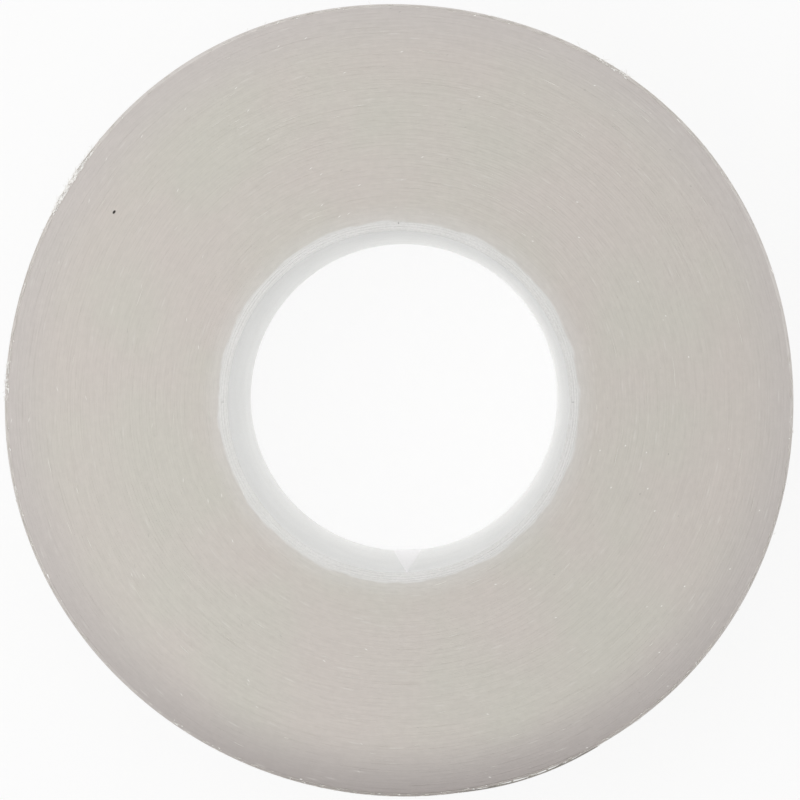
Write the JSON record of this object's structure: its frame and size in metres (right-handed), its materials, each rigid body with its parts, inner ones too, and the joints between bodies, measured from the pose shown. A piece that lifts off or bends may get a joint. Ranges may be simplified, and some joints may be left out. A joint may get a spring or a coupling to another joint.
{
  "type": "mesh tape roll",
  "caption": "Roll of self-adhesive glass-fibre mesh tape wound in a spiral on a rolled paper core, with a free end that peels off the rim",
  "frame": {"origin": "on the roll's axis, on the surface that the roll lies on", "axes": "+Z is the roll's axis and points up; the tape winds outwards anticlockwise seen from above, and its free end is at the -Y rim"},
  "size_m": [0.1387, 0.1391, 0.048],
  "materials": {
    "liner_paper": "smooth white paper, slightly worn at the ends",
    "core_board": "raw pale board",
    "wrap_paper": "raw paper",
    "wound_mesh": "packed edges of coated glass yarn, off-white and matt",
    "open_mesh": "coated glass yarn in an open mesh, off-white"
  },
  "bodies": {
    "roll": {"core_liner": "liner_paper", "core_board_inner": "core_board", "core_board_outer": "core_board", "core_wrap": "wrap_paper", "tape_winding": "wound_mesh"},
    "tail": {"tape_tail": "open_mesh"}
  },
  "joints": [
    {"name": "tail_peel", "type": "hinge", "parent": "roll", "child": "tail", "pos_m": [0.00991, -0.06924, 0.024], "axis": [0, 0, -1], "range_deg": [0, 120]}
  ]
}
